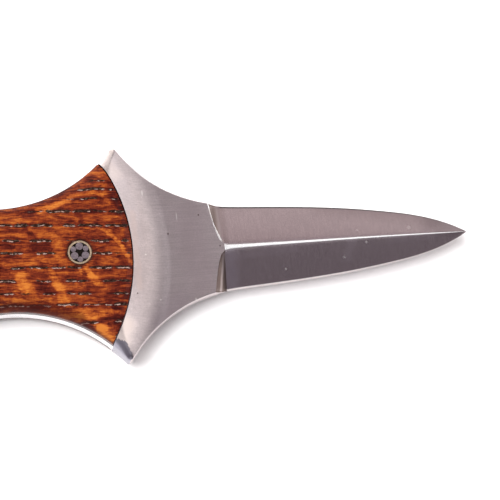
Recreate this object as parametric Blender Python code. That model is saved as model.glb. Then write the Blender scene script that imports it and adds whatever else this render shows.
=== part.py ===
"""Double-edged boot knife with a full tang, lying flat on one side of its handle.

The tip points along +X, the blade's width runs along Y and the knife's thickness along Z.
The steel is one piece: blade, flared bolster guard and tang. On each face of the tang lie
a fibre liner and a wooden scale, and two mosaic pins go through all five layers. A mosaic
pin is a brass tube packed with three large and three small steel rods in dark resin.

Every length is in millimetres and is turned into metres where a mesh is made. Plan
positions count along the knife from the middle of the seam between wood and bolster, and
heights count from the middle of the tang.
"""

import math

import bmesh
import bpy
import numpy as np

MM = 0.001

# Layers, as heights from the middle of the tang
TANG_HALF = 2.3
LINER_THICKNESS = 0.6
HANDLE_HALF = 7.9
GLUE_FILM = 0.05

# Wooden shoulders: a short upright side, then a quarter ellipse up to the flat face
SCALE_SIDE_TOP = 3.4
SHOULDER_WIDTH = 6.0

# Seam between wood and bolster, an arc around a point on the axis
SEAM_RADIUS = 46.8
SEAM_GAP = 0.35
STEP_LEAN = 0.02

# Handle outline: (distance along the knife, half width, slope), then the round neck
BUTT_X = -111.0
BUTT_ROUND_LENGTH = 7.0
BUTT_SQUARENESS = 0.8
REAR_KNOTS = ((-104.0, 16.8, 0.0), (-89.0, 13.7, 0.0), (-61.0, 16.4, 0.0), (-34.0, 14.05, 0.0))
NECK_RADIUS = 39.5

# Guard tip, and the hollow front edge of the guard
GUARD_TIP_RADIUS = 1.1
FRONT_CENTRE = (29.8, 49.4)
FRONT_RADIUS = 38.05
FRONT_END_X = 22.0

# Bolster surface: an even slope down from the seam that runs out into the flat ricasso
RAMP_STRAIGHT = 3.2
RAMP_RUNOUT = 7.5
FACET_SLOPE = 0.62
FACET_REACH = 5.3

# Blade edge, as knots after the guard, and its diamond section
BLADE_KNOTS = ((30.0, 11.2, -0.065), (66.0, 7.8, -0.16), (91.4, 0.15, -0.6))
EDGE_HALF = 0.1
RIDGE_KNOTS = ((25.0, 0.95, -0.08), (34.0, 0.6, -0.018), (84.0, 0.15, -0.008), (91.4, 0.06, -0.01))
THINNING_EVEN = 0.25
THINNING_TIP = 0.66
PLUNGE_END_X = 25.0
PLUNGE_RADIUS = 2.8

# Mosaic pins
FRONT_PIN_X = -14.0
REAR_PIN_X = -93.0
PIN_RADIUS = 3.175
PIN_BORE_RADIUS = 2.65
PIN_RECESS = 0.02
ROD_SIZE_LARGE = 0.375
ROD_SIZE_SMALL = 0.285
ROD_THINNING = 0.05
FIT_CLEARANCE = 0.02
HOLE_CLEARANCE = 0.05

# Rows across the solids: insets from the edge where the piece is at least as wide as given
EDGE_ROWS = (0.0, 0.6, 1.4, 2.5, 4.0, 6.0)
INNER_ROWS = 2
FULL_WIDTH = 12.0
FLAT_ROWS = 9

# Stations along the solids, and the fineness of the round ones
BUTT_START_TURN = 0.06
BUTT_STATIONS = 9
REAR_STATIONS = 16
NECK_STATIONS = 12
GUARD_SIDE_STATIONS = 5
GUARD_TIP_STATIONS = 5
GUARD_FRONT_STATIONS = 13
PLUNGE_SHARES = (0.75, 0.5, 0.25)
BLADE_SPACING_CHANGE_X = 68.0
BLADE_STATIONS = 9
RIDGE_SHARE_LIMIT = 0.5
OUTLINE_POINTS = 40
PIN_SEGMENTS = 40
LARGE_ROD_SEGMENTS = 20
SMALL_ROD_SEGMENTS = 12
LARGE_ROD_FIRST_ANGLE = 90.0
SMALL_ROD_FIRST_ANGLE = 30.0
CUTTER_LENGTH = 24.0
SHARP_ANGLE = 25.0

TIP_X = BLADE_KNOTS[-1][0]
LINER_TOP = TANG_HALF + LINER_THICKNESS
NECK_CENTRE = (REAR_KNOTS[-1][0], REAR_KNOTS[-1][1] + NECK_RADIUS)
SEAM_CENTRE = (-SEAM_RADIUS, 0.0)


def hermite(x, knots):
    """Height at x of the smooth curve through (x, height, slope) knots."""
    x = np.asarray(x, dtype=float)
    result = np.empty_like(x)
    for (x0, y0, slope0), (x1, y1, slope1) in zip(knots[:-1], knots[1:]):
        inside = (x >= x0) & (x <= x1)
        length = x1 - x0
        t = (x[inside] - x0) / length
        start = (2.0 * t**3 - 3.0 * t**2 + 1.0) * y0 + (t**3 - 2.0 * t**2 + t) * length * slope0
        end = (3.0 * t**2 - 2.0 * t**3) * y1 + (t**3 - t**2) * length * slope1
        result[inside] = start + end
    return result


def circles_meet(first, first_radius, second, second_radius):
    """The crossing of two circles that lies on the right of the line between their centres."""
    ax, ay = first
    bx, by = second
    distance = math.hypot(bx - ax, by - ay)
    along = (first_radius**2 - second_radius**2 + distance**2) / (2.0 * distance)
    aside = math.sqrt(first_radius**2 - along**2)
    ux = (bx - ax) / distance
    uy = (by - ay) / distance
    return ax + along * ux + aside * uy, ay + along * uy - aside * ux


def neck_half_width(x):
    return NECK_CENTRE[1] - np.sqrt(NECK_RADIUS**2 - (x - NECK_CENTRE[0]) ** 2)


def front_half_width(x):
    return FRONT_CENTRE[1] - np.sqrt(FRONT_RADIUS**2 - (x - FRONT_CENTRE[0]) ** 2)


def blade_half_width(x):
    """Half the blade's width, going on smoothly from the guard's front edge."""
    start_width = float(front_half_width(FRONT_END_X))
    start_slope = (FRONT_END_X - FRONT_CENTRE[0]) / (FRONT_CENTRE[1] - start_width)
    return hermite(x, ((FRONT_END_X, start_width, start_slope),) + BLADE_KNOTS)


def guard_tip():
    """Points round the guard's tip, from the neck's arc to the front edge's arc."""
    centre = circles_meet(
        NECK_CENTRE, NECK_RADIUS + GUARD_TIP_RADIUS, FRONT_CENTRE, FRONT_RADIUS + GUARD_TIP_RADIUS
    )
    start = math.atan2(NECK_CENTRE[1] - centre[1], NECK_CENTRE[0] - centre[0])
    end = math.atan2(FRONT_CENTRE[1] - centre[1], FRONT_CENTRE[0] - centre[0])
    angles = np.linspace(start, end, GUARD_TIP_STATIONS)
    x = centre[0] + GUARD_TIP_RADIUS * np.cos(angles)
    return np.column_stack([x, centre[1] + GUARD_TIP_RADIUS * np.sin(angles)])


def rear_edge():
    """Outline points from the butt's end to the narrowest part of the neck."""
    turn = np.linspace(BUTT_START_TURN, math.pi / 2.0, BUTT_STATIONS)[:-1]
    round_x = BUTT_X + BUTT_ROUND_LENGTH * (1.0 - np.cos(turn) ** BUTT_SQUARENESS)
    round_width = REAR_KNOTS[0][1] * np.sin(turn) ** BUTT_SQUARENESS
    x = np.linspace(REAR_KNOTS[0][0], REAR_KNOTS[-1][0], REAR_STATIONS)
    widths = np.concatenate([round_width, hermite(x, REAR_KNOTS)])
    return np.column_stack([np.concatenate([round_x, x]), widths])


def neck_edge(seam_radius):
    """Outline points from the neck to the seam, or to an arc that is parallel to the seam."""
    end = circles_meet(SEAM_CENTRE, seam_radius, NECK_CENTRE, NECK_RADIUS)[0]
    x = np.linspace(NECK_CENTRE[0], end, NECK_STATIONS)[1:]
    return np.column_stack([x, neck_half_width(x)])


def plan_rows(half_width, ridge):
    """Positions across one station, from edge to edge, closest together near the edges."""
    scale = min(1.0, half_width / FULL_WIDTH)
    outer = half_width - scale * np.array(EDGE_ROWS)
    inner = np.linspace(outer[-1], ridge, INNER_ROWS + 2)[1:]
    side = np.concatenate([outer, inner])
    return np.concatenate([-side, [0.0], side[::-1]])


def handle_rows(half_width):
    return plan_rows(half_width, RIDGE_KNOTS[0][1] * min(1.0, half_width / FULL_WIDTH))


def flat_rows(half_width):
    return np.linspace(-half_width, half_width, FLAT_ROWS)


def arc_depth(v, radius):
    """How far the seam's arc has fallen back at v from the axis."""
    return radius - np.sqrt(radius**2 - v**2)


def handle_stations(seam_radius, rows):
    """Plan points of the handle: straight across at the butt, curved like the seam at the end."""
    edge = np.concatenate([rear_edge(), neck_edge(seam_radius)])
    bend = np.clip((edge[:, 0] - NECK_CENTRE[0]) / (edge[-1, 0] - NECK_CENTRE[0]), 0.0, 1.0)
    stations = []
    for (x, half_width), share in zip(edge, bend):
        v = rows(half_width)
        curve = arc_depth(half_width, seam_radius) - arc_depth(v, seam_radius)
        stations.append(np.column_stack([x + share * curve, v]))
    return np.array(stations)


def handle_outline():
    """Outline of the handle side, from the middle of the butt to the guard's tip."""
    tip_x = guard_tip()[0, 0]
    neck_x = np.linspace(NECK_CENTRE[0], tip_x, OUTLINE_POINTS)[1:]
    neck = np.column_stack([neck_x, neck_half_width(neck_x)])
    return np.concatenate([[(BUTT_X, 0.0)], rear_edge(), neck])


def distance_to_outline(plan, outline):
    """Shortest distance in plan from each point to the outline, which lies on both sides."""
    points = plan.reshape(-1, 2).copy()
    points[:, 1] = np.abs(points[:, 1])
    start = outline[:-1]
    run = outline[1:] - start
    offset = points[:, None, :] - start[None, :, :]
    share = np.clip((offset * run).sum(axis=2) / (run**2).sum(axis=1), 0.0, 1.0)
    nearest = offset - share[:, :, None] * run
    return np.sqrt((nearest**2).sum(axis=2)).min(axis=1).reshape(plan.shape[:-1])


def shoulder_height(inset):
    """Height of the handle's face, which falls off in a quarter ellipse towards its edge."""
    from_flat = 1.0 - np.clip(inset / SHOULDER_WIDTH, 0.0, 1.0)
    return SCALE_SIDE_TOP + (HANDLE_HALF - SCALE_SIDE_TOP) * np.sqrt(1.0 - from_flat**2)


def bolster_height(plan):
    """Height of the bolster: the ramp down from the seam, cut by the facet at the guard's tip."""
    x = plan[..., 0]
    v = np.abs(plan[..., 1])
    from_seam = np.hypot(x - SEAM_CENTRE[0], v) - SEAM_RADIUS
    slope = (HANDLE_HALF - TANG_HALF) / (RAMP_STRAIGHT + RAMP_RUNOUT / 2.0)
    past = np.clip(from_seam - RAMP_STRAIGHT, 0.0, RAMP_RUNOUT)
    straight = np.clip(from_seam, 0.0, RAMP_STRAIGHT)
    ramp = HANDLE_HALF - slope * (straight + past - past**2 / (2.0 * RAMP_RUNOUT))
    inset = np.clip(np.hypot(x - NECK_CENTRE[0], v - NECK_CENTRE[1]) - NECK_RADIUS, 0.0, None)
    share = np.clip(from_seam / FACET_REACH, 0.0, 1.0)
    facet = LINER_TOP + FACET_SLOPE * inset
    side = (1.0 - share) * shoulder_height(inset) + share * facet
    return np.minimum(ramp, side)


def ridge_height(x):
    """Half the blade's thickness along its middle, thinner towards the tip."""
    along = np.clip((x - PLUNGE_END_X) / (TIP_X - PLUNGE_END_X), 0.0, 1.0)
    return TANG_HALF * (1.0 - THINNING_EVEN * along - THINNING_TIP * along**4)


def bevel_height(x, v):
    """Height of the diamond section at v from the axis."""
    ridge = hermite(np.clip(x, PLUNGE_END_X, None), RIDGE_KNOTS)
    half_width = blade_half_width(np.clip(x, FRONT_END_X, None))
    share = np.clip((np.abs(v) - ridge) / (half_width - ridge), 0.0, 1.0)
    return ridge_height(x) + share * (EDGE_HALF - ridge_height(x))


def plunge_depth(v, half_width):
    """How far back from its foot the plunge reaches the flat, at v from the axis."""
    ridge = RIDGE_KNOTS[0][1]
    share = np.clip((np.abs(v) - ridge) / (half_width - ridge), 0.0, 1.0)
    return np.sqrt(2.0 * PLUNGE_RADIUS * share * (TANG_HALF - EDGE_HALF))


def bolster_stations():
    """Plan points from the seam, past the guard's tip, to the top of the plunge."""
    seam_x = circles_meet(SEAM_CENTRE, SEAM_RADIUS, NECK_CENTRE, NECK_RADIUS)[0]
    tip = guard_tip()
    neck_x = np.linspace(seam_x, tip[0, 0], GUARD_SIDE_STATIONS)[:-1]
    neck = np.column_stack([neck_x, neck_half_width(neck_x)])
    plunge_x = PLUNGE_END_X - float(plunge_depth(FULL_WIDTH, FULL_WIDTH))
    front_x = np.linspace(tip[-1, 0], plunge_x, GUARD_FRONT_STATIONS)[1:]
    front = np.column_stack([front_x, front_half_width(front_x)])
    edge = np.concatenate([neck, tip, front])
    stations = []
    for index, (x, half_width) in enumerate(edge):
        share = index / (len(edge) - 1.0)
        v = plan_rows(half_width, RIDGE_KNOTS[0][1])
        arc = arc_depth(half_width, SEAM_RADIUS) - arc_depth(v, SEAM_RADIUS)
        plunge = plunge_depth(half_width, half_width) - plunge_depth(v, half_width)
        stations.append(np.column_stack([x + (1.0 - share) * arc + share * plunge, v]))
    return np.array(stations)


def plunge_stations():
    """Plan points and heights of the plunge, the hollow that joins the flat to the bevels."""
    stations = []
    heights = []
    for share in PLUNGE_SHARES:
        reach = share * float(plunge_depth(FULL_WIDTH, FULL_WIDTH))
        half_width = float(blade_half_width(max(FRONT_END_X, PLUNGE_END_X - reach)))
        v = plan_rows(half_width, RIDGE_KNOTS[0][1])
        back = share * plunge_depth(v, half_width)
        foot = bevel_height(np.full_like(v, PLUNGE_END_X), v)
        stations.append(np.column_stack([PLUNGE_END_X - back, v]))
        heights.append(np.minimum(TANG_HALF, foot + back**2 / (2.0 * PLUNGE_RADIUS)))
    return np.array(stations), np.array(heights)


def blade_stations():
    """Plan points and heights of the bevels, from the foot of the plunge to the tip."""
    even = np.linspace(PLUNGE_END_X, BLADE_SPACING_CHANGE_X, BLADE_STATIONS)
    close = np.linspace(BLADE_SPACING_CHANGE_X, TIP_X, BLADE_STATIONS)[1:]
    x = np.concatenate([even, close])
    stations = []
    heights = []
    for along, half_width in zip(x, blade_half_width(x)):
        ridge = min(float(hermite(along, RIDGE_KNOTS)), half_width * RIDGE_SHARE_LIMIT)
        v = plan_rows(half_width, ridge)
        stations.append(np.column_stack([np.full_like(v, along), v]))
        heights.append(bevel_height(np.full_like(v, along), v))
    return np.array(stations), np.array(heights)


def steel_stations():
    """The whole steel piece: plan points and top heights, station by station."""
    tang = handle_stations(SEAM_RADIUS, handle_rows)
    bolster = bolster_stations()
    bolster_z = bolster_height(bolster)
    bolster[0, :, 0] += STEP_LEAN
    plunge, plunge_z = plunge_stations()
    blade, blade_z = blade_stations()
    plan = np.concatenate([tang, bolster, plunge, blade])
    top = np.concatenate([np.full(tang.shape[:2], TANG_HALF), bolster_z, plunge_z, blade_z])
    return plan, top


def mesh_object(name, bm, material, parent):
    """A new object with this mesh, its material and smooth shading between sharp edges."""
    mesh = bpy.data.meshes.new(name)
    bmesh.ops.recalc_face_normals(bm, faces=bm.faces)
    bm.to_mesh(mesh)
    bm.free()
    mesh.materials.append(material)
    mesh.shade_smooth()
    mesh.set_sharp_from_angle(angle=math.radians(SHARP_ANGLE))
    obj = bpy.data.objects.new(name, mesh)
    bpy.context.scene.collection.objects.link(obj)
    obj.parent = parent
    return obj


def lofted_slab(name, plan, top, bottom, material, parent):
    """A closed skin over stations: a top face, a bottom face, side walls and two ends."""
    bm = bmesh.new()
    loops = []
    for points, high, low in zip(plan, top, bottom):
        upper = [bm.verts.new((x * MM, y * MM, z * MM)) for (x, y), z in zip(points, high)]
        lower = [bm.verts.new((x * MM, y * MM, z * MM)) for (x, y), z in zip(points, low)]
        loops.append(upper + lower[::-1])
    for first, second in zip(loops[:-1], loops[1:]):
        for index, corner in enumerate(first):
            after = (index + 1) % len(first)
            bm.faces.new((corner, first[after], second[after], second[index]))
    bm.faces.new(loops[0])
    bm.faces.new(loops[-1])
    return mesh_object(name, bm, material, parent)


def pin_cutter(name, x, radius, parent):
    """A round cutter through the whole handle, hidden from the finished model."""
    bm = bmesh.new()
    bmesh.ops.create_cone(
        bm,
        cap_ends=True,
        segments=PIN_SEGMENTS,
        radius1=radius * MM,
        radius2=radius * MM,
        depth=CUTTER_LENGTH * MM,
    )
    cutter = mesh_object(name, bm, bpy.data.materials["resin"], parent)
    cutter.location = (x * MM, 0.0, 0.0)
    cutter.hide_render = True
    cutter.display_type = "WIRE"
    return cutter


def drill(obj, cutters):
    for cutter in cutters:
        hole = obj.modifiers.new("hole for " + cutter.name, "BOOLEAN")
        hole.operation = "DIFFERENCE"
        hole.solver = "EXACT"
        hole.object = cutter


def round_bar(name, radius, segments, material, parent):
    """A straight round bar through the handle, flush with its two faces."""
    bm = bmesh.new()
    length = 2.0 * (HANDLE_HALF - PIN_RECESS) * MM
    bmesh.ops.create_cone(
        bm,
        cap_ends=True,
        segments=segments,
        radius1=radius * MM,
        radius2=radius * MM,
        depth=length,
    )
    return mesh_object(name, bm, material, parent)


def tube(name, outer, inner, material, parent):
    """A round tube through the handle, made of four bridged rings."""
    bm = bmesh.new()
    half = HANDLE_HALF - PIN_RECESS
    rings = []
    for radius, z in ((outer, -half), (outer, half), (inner, half), (inner, -half)):
        ring = []
        for index in range(PIN_SEGMENTS):
            angle = 2.0 * math.pi * index / PIN_SEGMENTS
            x = radius * math.cos(angle) * MM
            ring.append(bm.verts.new((x, radius * math.sin(angle) * MM, z * MM)))
        rings.append(ring)
    for first, second in zip(rings, rings[1:] + rings[:1]):
        for index in range(PIN_SEGMENTS):
            after = (index + 1) % PIN_SEGMENTS
            bm.faces.new((first[index], first[after], second[after], second[index]))
    return mesh_object(name, bm, material, parent)


def mosaic_pin(name, x, materials, parent):
    """One mosaic pin: tube, three large rods, three small rods and the resin between them."""
    axis = bpy.data.objects.new(name + "_axis", None)
    bpy.context.scene.collection.objects.link(axis)
    axis.parent = parent
    axis.location = (x * MM, 0.0, 0.0)
    tube(name + "_tube", PIN_RADIUS, PIN_BORE_RADIUS, materials["brass"], axis)
    core_radius = PIN_BORE_RADIUS - FIT_CLEARANCE
    resin = round_bar(name + "_resin", core_radius, PIN_SEGMENTS, materials["resin"], axis)
    rods = (
        ("large_rod", ROD_SIZE_LARGE, LARGE_ROD_FIRST_ANGLE, LARGE_ROD_SEGMENTS),
        ("small_rod", ROD_SIZE_SMALL, SMALL_ROD_FIRST_ANGLE, SMALL_ROD_SEGMENTS),
    )
    for kind, size, first_angle, segments in rods:
        radius = size * PIN_BORE_RADIUS - ROD_THINNING
        reach = (1.0 - size) * PIN_BORE_RADIUS
        for index in range(3):
            angle = math.radians(first_angle + 120.0 * index)
            place = (reach * math.cos(angle) * MM, reach * math.sin(angle) * MM, 0.0)
            rod_name = f"{name}_{kind}_{index + 1}"
            rod = round_bar(rod_name, radius, segments, materials["rod_steel"], axis)
            rod.location = place
            cutter = pin_cutter(rod_name + "_bore", 0.0, radius + FIT_CLEARANCE, axis)
            cutter.location = place
            drill(resin, [cutter])


def principled(name, colour, roughness, metallic):
    material = bpy.data.materials.new(name)
    material.use_nodes = True
    shader = material.node_tree.nodes["Principled BSDF"]
    shader.inputs["Base Color"].default_value = (*colour, 1.0)
    shader.inputs["Roughness"].default_value = roughness
    shader.inputs["Metallic"].default_value = metallic
    return material


def make_materials():
    return {
        "steel": principled("steel", (0.52, 0.49, 0.49), 0.35, 1.0),
        "liner": principled("liner", (0.02, 0.02, 0.02), 0.6, 0.0),
        "wood": principled("wood", (0.32, 0.09, 0.02), 0.25, 0.0),
        "brass": principled("brass", (0.55, 0.43, 0.24), 0.35, 1.0),
        "rod_steel": principled("rod_steel", (0.35, 0.32, 0.34), 0.35, 1.0),
        "resin": principled("resin", (0.03, 0.02, 0.02), 0.3, 0.0),
    }


def build():
    for obj in list(bpy.data.objects):
        bpy.data.objects.remove(obj, do_unlink=True)
    materials = make_materials()

    knife = bpy.data.objects.new("knife_frame", None)
    bpy.context.scene.collection.objects.link(knife)
    knife.location = (-(BUTT_X + TIP_X) / 2.0 * MM, 0.0, HANDLE_HALF * MM)

    hole_radius = PIN_RADIUS + HOLE_CLEARANCE
    front_hole = pin_cutter("front_pin_hole", FRONT_PIN_X, hole_radius, knife)
    rear_hole = pin_cutter("rear_pin_hole", REAR_PIN_X, hole_radius, knife)
    holes = [front_hole, rear_hole]

    plan, top = steel_stations()
    steel = lofted_slab("blade_and_tang", plan, top, -top, materials["steel"], knife)
    drill(steel, holes)

    liner_plan = handle_stations(SEAM_RADIUS - SEAM_GAP, flat_rows)
    liner_low = np.full(liner_plan.shape[:2], TANG_HALF + GLUE_FILM)
    liner_high = np.full(liner_plan.shape[:2], LINER_TOP)
    scale_plan = handle_stations(SEAM_RADIUS - SEAM_GAP, handle_rows)
    scale_low = np.full(scale_plan.shape[:2], LINER_TOP + GLUE_FILM)
    scale_high = shoulder_height(distance_to_outline(scale_plan, handle_outline()))
    for side, up in (("upper", 1.0), ("lower", -1.0)):
        liner = lofted_slab(
            "liner_" + side, liner_plan, up * liner_high, up * liner_low, materials["liner"], knife
        )
        scale = lofted_slab(
            "scale_" + side, scale_plan, up * scale_high, up * scale_low, materials["wood"], knife
        )
        drill(liner, holes)
        drill(scale, holes)

    mosaic_pin("front_pin", FRONT_PIN_X, materials, knife)
    mosaic_pin("rear_pin", REAR_PIN_X, materials, knife)


build()
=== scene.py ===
import math

import bmesh
import bpy
import numpy as np
from mathutils import Matrix, Vector


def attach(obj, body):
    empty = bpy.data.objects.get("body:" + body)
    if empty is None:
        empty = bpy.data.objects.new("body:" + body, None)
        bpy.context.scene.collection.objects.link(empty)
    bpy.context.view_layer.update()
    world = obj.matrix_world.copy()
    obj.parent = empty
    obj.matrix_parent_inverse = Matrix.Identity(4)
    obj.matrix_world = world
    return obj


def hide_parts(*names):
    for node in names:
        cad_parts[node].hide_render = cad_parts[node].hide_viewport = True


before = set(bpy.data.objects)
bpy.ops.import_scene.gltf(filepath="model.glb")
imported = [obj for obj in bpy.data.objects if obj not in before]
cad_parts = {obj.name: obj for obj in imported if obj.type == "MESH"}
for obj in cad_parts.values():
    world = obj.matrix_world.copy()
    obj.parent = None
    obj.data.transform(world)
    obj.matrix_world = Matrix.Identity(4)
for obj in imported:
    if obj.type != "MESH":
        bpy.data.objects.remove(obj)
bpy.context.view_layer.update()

# Lengths are in millimetres. Plan positions count along the knife from the middle of the
# seam between wood and bolster, and heights count from the middle of the tang.
MM = 0.001
TANG_HALF = 2.3
LINER_TOP = 2.9
HANDLE_HALF = 7.9
GLUE_FILM = 0.05
SCALE_SIDE_TOP = 3.4
SHOULDER_WIDTH = 6.0
SEAM_RADIUS = 46.8
SEAM_GAP = 0.28
STEP_LEAN = 0.02
BUTT_X = -111.0
BUTT_ROUND_LENGTH = 7.0
BUTT_SQUARENESS = 0.8
BUTT_FLAT_ANGLE = 0.061
REAR_KNOTS = ((-104.0, 16.8, 0.0), (-89.0, 13.7, 0.0), (-61.0, 16.4, 0.0), (-34.0, 14.05, 0.0))
NECK_RADIUS = 39.5
GUARD_TIP_RADIUS = 1.1
FRONT_CENTRE = (29.8, 49.4)
FRONT_RADIUS = 38.05
FRONT_END_X = 22.0
RAMP_STRAIGHT = 3.2
RAMP_RUNOUT = 7.5
FACET_SLOPE = 0.62
FACET_REACH = 5.3
BLADE_KNOTS = ((30.0, 11.2, -0.065), (66.0, 7.8, -0.16), (91.4, 0.15, -0.6))
RIDGE_KNOTS = ((25.0, 0.95, -0.08), (34.0, 0.6, -0.018), (84.0, 0.15, -0.008), (91.4, 0.06, -0.01))
THINNING_EVEN = 0.25
THINNING_TIP = 0.66
PLUNGE_END_X = 25.0
PLUNGE_RADIUS = 2.8
FRONT_PIN_X = -14.0
REAR_PIN_X = -93.0
PIN_RADIUS = 3.175
PIN_BORE_RADIUS = 2.65
PIN_RECESS = 0.02
ROD_SIZE_LARGE = 0.375
ROD_SIZE_SMALL = 0.285
ROD_THINNING = 0.01
FIT_CLEARANCE = 0.01
HOLE_CLEARANCE = 0.05

# Finer shapes than the solids have
EDGE_HALF = 0.06
CUTTING_WIDTH = 0.5
CUTTING_SHOULDER = 0.36
BEVEL_CROWN = 0.22
BREAK_RADIUS = 0.17
WOOD_BREAK_RADIUS = 0.18
RING_BEVEL = 0.08
SMOOTH_ANGLE = 28.0

# How finely the skins are divided: insets from an edge, then even rows up to the ridge
EDGE_INSETS = (
    0.0, 0.04, 0.1, 0.18, 0.3, 0.5, 0.75, 1.0, 1.3, 1.6, 1.9, 2.2, 2.6, 3.0, 3.5, 4.0, 4.6, 5.3, 6.0
)
INNER_ROWS = 16
ROWS = 2 * (len(EDGE_INSETS) + INNER_ROWS + 1) + 1
RIDGE_BLEND = 1.1
FULL_WIDTH = 12.0
NECK_STATIONS = 21
TIP_STATIONS = 9
FRONT_STATIONS = 90
PLUNGE_STATIONS = 11
BLADE_CLOSE_X = 68.0
HOLE_SEGMENTS = 96
ROD_SEGMENTS = 40

# Width of the painted shade on the guard's lower facet, at the seam and at FACET_REACH from it
FACET_SHADE_WIDTHS = (1.3, 3.6)

# Rows of faces that the cutting bevel takes
CUTTING_ROWS = 5

# The lower scale is cut from further along the same wood
LOWER_WOOD_SHIFT = -61.0

TIP_X = BLADE_KNOTS[-1][0]
SHIFT_X = -(BUTT_X + TIP_X) / 2.0
NECK_CENTRE = (REAR_KNOTS[-1][0], REAR_KNOTS[-1][1] + NECK_RADIUS)
SEAM_CENTRE = (-SEAM_RADIUS, 0.0)

# Holes for the pins, as (x, y, radius, segments)
PIN_HOLES = [(x, 0.0, PIN_RADIUS + HOLE_CLEARANCE, HOLE_SEGMENTS) for x in (FRONT_PIN_X, REAR_PIN_X)]

# Places of the steels in the list of materials of the blade and tang. Several are paler or darker copies
# of one steel, which carry painted highlights and painted shade
BOLSTER, TANG, SHADED_SIDE, SHADED_FACET, BEVEL, RIDGE, LIT_EDGE, SHADED_PLUNGE, LIT_TIP, SHADED_EDGE = range(10)


def hermite(x, knots):
    """Height at x of the smooth curve through (x, height, slope) knots."""
    x = np.asarray(x, dtype=float)
    result = np.empty_like(x)
    for (x0, y0, slope0), (x1, y1, slope1) in zip(knots[:-1], knots[1:]):
        inside = (x >= x0) & (x <= x1)
        length = x1 - x0
        t = (x[inside] - x0) / length
        start = (2.0 * t**3 - 3.0 * t**2 + 1.0) * y0 + (t**3 - 2.0 * t**2 + t) * length * slope0
        end = (3.0 * t**2 - 2.0 * t**3) * y1 + (t**3 - t**2) * length * slope1
        result[inside] = start + end
    return result


def circles_meet(first, first_radius, second, second_radius):
    """The crossing of two circles that lies to the right on the way from first to second."""
    ax, ay = first
    bx, by = second
    distance = math.hypot(bx - ax, by - ay)
    along = (first_radius**2 - second_radius**2 + distance**2) / (2.0 * distance)
    aside = math.sqrt(first_radius**2 - along**2)
    ux = (bx - ax) / distance
    uy = (by - ay) / distance
    return ax + along * ux + aside * uy, ay + along * uy - aside * ux


def neck_half_width(x):
    return NECK_CENTRE[1] - np.sqrt(NECK_RADIUS**2 - (x - NECK_CENTRE[0]) ** 2)


def front_half_width(x):
    return FRONT_CENTRE[1] - np.sqrt(FRONT_RADIUS**2 - (x - FRONT_CENTRE[0]) ** 2)


def blade_half_width(x):
    start_width = float(front_half_width(FRONT_END_X))
    start_slope = (FRONT_END_X - FRONT_CENTRE[0]) / (FRONT_CENTRE[1] - start_width)
    return hermite(x, ((FRONT_END_X, start_width, start_slope),) + BLADE_KNOTS)


def edge_points(start, end, count, half_width):
    x = np.linspace(start, end, count)
    return np.column_stack([x, half_width(x)])


def guard_tip(count):
    """The small round that touches both the neck's arc and the front's arc."""
    centre = circles_meet(
        NECK_CENTRE, NECK_RADIUS + GUARD_TIP_RADIUS, FRONT_CENTRE, FRONT_RADIUS + GUARD_TIP_RADIUS
    )
    start = math.atan2(NECK_CENTRE[1] - centre[1], NECK_CENTRE[0] - centre[0])
    end = math.atan2(FRONT_CENTRE[1] - centre[1], FRONT_CENTRE[0] - centre[0])
    angles = np.linspace(start, end, count)
    x = centre[0] + GUARD_TIP_RADIUS * np.cos(angles)
    return np.column_stack([x, centre[1] + GUARD_TIP_RADIUS * np.sin(angles)])


def rear_edge(turns, count):
    """Edge of the handle from the butt to the neck, with turns points round the corner."""
    turn = np.linspace(BUTT_FLAT_ANGLE, math.pi / 2.0, turns)[:-1]
    round_x = BUTT_X + BUTT_ROUND_LENGTH * (1.0 - np.cos(turn) ** BUTT_SQUARENESS)
    round_width = REAR_KNOTS[0][1] * np.sin(turn) ** BUTT_SQUARENESS
    x = np.linspace(REAR_KNOTS[0][0], REAR_KNOTS[-1][0], count)
    widths = np.concatenate([round_width, hermite(x, REAR_KNOTS)])
    return np.column_stack([np.concatenate([round_x, x]), widths])


def neck_edge(seam_radius, count):
    end = circles_meet(SEAM_CENTRE, seam_radius, NECK_CENTRE, NECK_RADIUS)[0]
    return edge_points(NECK_CENTRE[0], end, count, neck_half_width)[1:]


def plan_rows(half_width, ridge):
    """Positions across one station, from edge to edge, closest together near the edges.

    The row next to the ridge is a wide one, and smooth shading spreads the ridge's light over it.
    """
    scale = min(1.0, half_width / FULL_WIDTH)
    outer = half_width - scale * np.array(EDGE_INSETS)
    inner = np.linspace(outer[-1], ridge + scale * RIDGE_BLEND, INNER_ROWS + 1)[1:]
    side = np.concatenate([outer, inner, [ridge]])
    return np.concatenate([-side, [0.0], side[::-1]])


def arc_depth(v, radius):
    """How far an arc has fallen behind its middle at v across."""
    return radius - np.sqrt(radius**2 - v**2)


def handle_stations(seam_radius, turns, rear_count, neck_count):
    """Plan points of the handle: straight across at the butt, curved like the seam at the end."""
    edge = np.concatenate([rear_edge(turns, rear_count), neck_edge(seam_radius, neck_count)])
    bend = np.clip((edge[:, 0] - NECK_CENTRE[0]) / (edge[-1, 0] - NECK_CENTRE[0]), 0.0, 1.0)
    stations = []
    for (x, half_width), share in zip(edge, bend):
        v = plan_rows(half_width, RIDGE_KNOTS[0][1] * min(1.0, half_width / FULL_WIDTH))
        curve = arc_depth(half_width, seam_radius) - arc_depth(v, seam_radius)
        stations.append(np.column_stack([x + share * curve, v]))
    return np.array(stations)


def side_outline():
    """Outline of one side, from the middle of the butt past the guard's tip to the blade."""
    seam_x = circles_meet(SEAM_CENTRE, SEAM_RADIUS, NECK_CENTRE, NECK_RADIUS)[0]
    tip = guard_tip(count=12)
    neck = edge_points(seam_x, tip[0, 0], 16, neck_half_width)[1:-1]
    front = edge_points(tip[-1, 0], FRONT_END_X, 60, front_half_width)[1:]
    blade = edge_points(FRONT_END_X, PLUNGE_END_X, 5, blade_half_width)[1:]
    rear = rear_edge(turns=24, count=60)
    handle = np.concatenate([[(BUTT_X, 0.0)], rear, neck_edge(SEAM_RADIUS, count=40)])
    return np.concatenate([handle, neck, tip, front, blade])


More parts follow.
